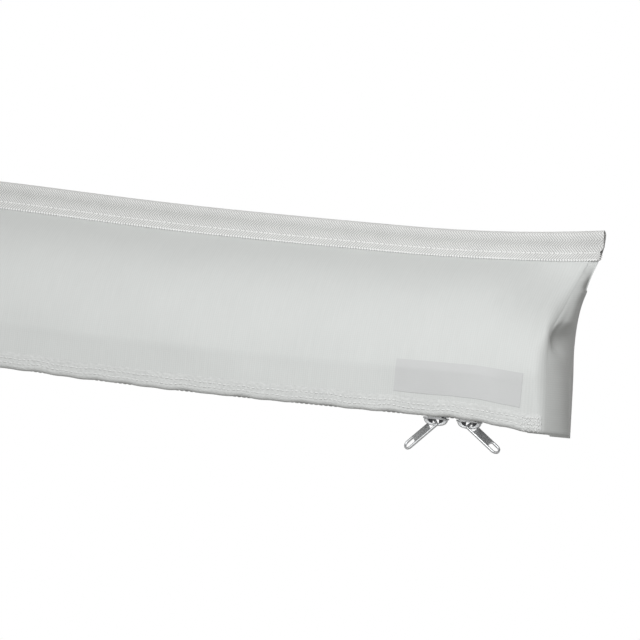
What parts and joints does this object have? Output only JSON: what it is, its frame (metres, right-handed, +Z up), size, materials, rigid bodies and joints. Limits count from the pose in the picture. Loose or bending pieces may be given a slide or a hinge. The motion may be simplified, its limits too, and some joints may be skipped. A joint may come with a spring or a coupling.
{
  "type": "caravan roll-out bag awning",
  "caption": "Soft zipped bag hung from a caravan rail by its welt band, holding a canopy wound on a roller with end brackets and folding telescopic legs.",
  "frame": {"origin": "on the axis of the welt cord, half way along the bag", "axes": "+X along the bag to the end where the zip sliders meet, +Y to the vehicle wall, +Z up"},
  "size_m": [1.9, 0.0838, 0.1692],
  "materials": {
    "bag_cloth": "light grey PVC-coated cloth, fine woven grain, slight sheen",
    "welt_weave": "white-grey twill tape in a herringbone weave",
    "welt_cord": "solid white PVC cord",
    "label_film": "bare grey film patch",
    "zip_tape": "woven grey zip tape",
    "zip_coil": "grey nylon coil",
    "nickel": "nickel plated die casting, satin bright",
    "canopy_cloth": "coated canopy cloth in grey-blue shades",
    "bare_aluminium": "anodised extruded tube, brushed along its length",
    "black_plastic": "moulded black nylon",
    "grey_plastic": "moulded grey nylon",
    "bush_plastic": "natural acetal bush",
    "steel": "zinc plated steel",
    "foot_rubber": "moulded black rubber"
  },
  "bodies": {
    "root": {"keder_cord": "welt_cord", "keder_band": "welt_weave", "bag_back_panel": "bag_cloth", "bag_end_left": "bag_cloth", "bag_end_right": "bag_cloth", "zip_tape_back": "zip_tape", "zip_coil_back": "zip_coil", "zip_stops": "nickel", "canopy_lead": "canopy_cloth"},
    "flap": {"bag_front_panel": "bag_cloth", "label_patch": "label_film", "zip_tape_front": "zip_tape", "zip_coil_front": "zip_coil"},
    "slider_left": {"zip_slider_left": "nickel"},
    "slider_right": {"zip_slider_right": "nickel"},
    "pull_left": {"zip_pull_left": "nickel"},
    "pull_right": {"zip_pull_right": "nickel"},
    "carriage": {"end_bracket_left": "black_plastic", "end_bracket_right": "black_plastic", "spindle_left": "steel", "spindle_right": "steel", "leg_pins": "steel"},
    "roller": {"roller_tube": "bare_aluminium", "roller_plug_left": "black_plastic", "roller_plug_right": "black_plastic", "roller_bushes": "bush_plastic", "canopy_wound": "canopy_cloth", "canopy_rod": "welt_cord"},
    "leg_left": {"leg_head_left": "black_plastic", "leg_outer_left": "bare_aluminium", "leg_collar_left": "grey_plastic"},
    "leg_left_mid": {"leg_mid_left": "bare_aluminium", "leg_mid_lock_left": "grey_plastic", "leg_mid_collar_left": "grey_plastic"},
    "leg_left_low": {"leg_low_left": "bare_aluminium", "leg_low_lock_left": "grey_plastic", "leg_foot_left": "foot_rubber"},
    "leg_right": {"leg_head_right": "black_plastic", "leg_outer_right": "bare_aluminium", "leg_collar_right": "grey_plastic"},
    "leg_right_mid": {"leg_mid_right": "bare_aluminium", "leg_mid_lock_right": "grey_plastic", "leg_mid_collar_right": "grey_plastic"},
    "leg_right_low": {"leg_low_right": "bare_aluminium", "leg_low_lock_right": "grey_plastic", "leg_foot_right": "foot_rubber"}
  },
  "joints": [
    {"name": "roll_out", "type": "slide", "parent": "root", "child": "carriage", "axis": [0, -0.9781, -0.2079], "range_m": [0, 1.5], "deforming": ["bag_front_panel", "label_patch", "zip_tape_front", "zip_coil_front", "canopy_lead"]},
    {"name": "flap_open", "type": "hinge", "parent": "root", "child": "flap", "pos_m": [0, -0.00052, -0.017], "axis": [-1, 0, 0], "range_deg": [0, 52]},
    {"name": "zip_left", "type": "slide", "parent": "root", "child": "slider_left", "axis": [-1, 0, 0], "range_m": [0, 1.753]},
    {"name": "zip_right", "type": "slide", "parent": "root", "child": "slider_right", "axis": [1, 0, 0], "range_m": [0, 0.029]},
    {"name": "pull_left_swing", "type": "hinge", "parent": "slider_left", "child": "pull_left", "pos_m": [0.849, -0.06195, -0.14185], "axis": [0, 1, 0], "range_deg": [-45, 33]},
    {"name": "pull_right_swing", "type": "hinge", "parent": "slider_right", "child": "pull_right", "pos_m": [0.875, -0.06195, -0.14185], "axis": [0, 1, 0], "range_deg": [-25, 53]},
    {"name": "roller_spin", "type": "hinge", "parent": "carriage", "child": "roller", "pos_m": [0, -0.03404, -0.07194], "axis": [-1, 0, 0], "range_deg": [0, 3560]},
    {"name": "leg_left_swing", "type": "hinge", "parent": "carriage", "child": "leg_left", "pos_m": [-0.918, -0.06235, -0.10025], "axis": [0, 1, 0], "range_deg": [0, 90]},
    {"name": "leg_left_extend", "type": "slide", "parent": "leg_left", "child": "leg_left_mid", "axis": [1, 0, 0], "range_m": [0, 0.51]},
    {"name": "leg_left_lower_extend", "type": "slide", "parent": "leg_left_mid", "child": "leg_left_low", "axis": [1, 0, 0], "range_m": [0, 0.51]},
    {"name": "leg_right_swing", "type": "hinge", "parent": "carriage", "child": "leg_right", "pos_m": [0.918, -0.06235, -0.10025], "axis": [0, -1, 0], "range_deg": [0, 90]},
    {"name": "leg_right_extend", "type": "slide", "parent": "leg_right", "child": "leg_right_mid", "axis": [-1, 0, 0], "range_m": [0, 0.51]},
    {"name": "leg_right_lower_extend", "type": "slide", "parent": "leg_right_mid", "child": "leg_right_low", "axis": [-1, 0, 0], "range_m": [0, 0.51]}
  ],
  "couplings": [
    {"joint": "flap_open", "follows": "roll_out", "rad_per_m": 0.60505},
    {"joint": "zip_left", "follows": "roll_out", "ratio": 1.1687},
    {"joint": "zip_right", "follows": "roll_out", "ratio": 0.019333},
    {"joint": "roller_spin", "follows": "roll_out", "rad_per_m": 41.292},
    {"joint": "leg_left_swing", "follows": "roll_out", "rad_per_m": 1.0472},
    {"joint": "leg_left_extend", "follows": "roll_out", "ratio": 0.34},
    {"joint": "leg_left_lower_extend", "follows": "roll_out", "ratio": 0.34},
    {"joint": "leg_right_swing", "follows": "roll_out", "rad_per_m": 1.0472},
    {"joint": "leg_right_extend", "follows": "roll_out", "ratio": 0.34},
    {"joint": "leg_right_lower_extend", "follows": "roll_out", "ratio": 0.34}
  ]
}
